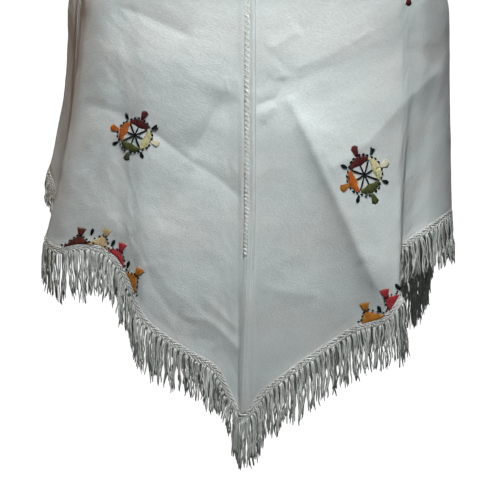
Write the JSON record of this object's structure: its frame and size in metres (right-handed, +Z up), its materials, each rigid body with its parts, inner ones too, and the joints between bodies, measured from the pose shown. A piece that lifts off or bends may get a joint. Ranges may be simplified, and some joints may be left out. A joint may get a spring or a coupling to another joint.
{
  "type": "handwoven shawl",
  "caption": "Hanging V-hemmed shawl of two mitred handwoven strips, with centre seams, a worked edging, a long thread fringe and a neck opening.",
  "frame": {"origin": "middle of the neck opening, level with the highest points of its edge, where the neck and shoulders of the wearer hold the shawl", "axes": "+Z up, -Y towards the front, where the lowest point of the embroidered V hangs, +X to the right as seen from the front"},
  "size_m": [0.5958, 0.2906, 0.8444],
  "materials": {
    "cloth": "soft handwoven wool and cotton, off-white with a grey-green cast",
    "seam_thread": "twisted off-white thread, worked in close slanted stitches",
    "fringe_thread": "silky grey-green thread, hanging loose"
  },
  "bodies": {
    "root": {"panel_left": "cloth", "panel_right": "cloth", "seam_front": "seam_thread", "seam_back": "seam_thread", "edging_left": "seam_thread", "edging_right": "seam_thread", "fringe_left": "fringe_thread", "fringe_right": "fringe_thread"}
  },
  "joints": []
}
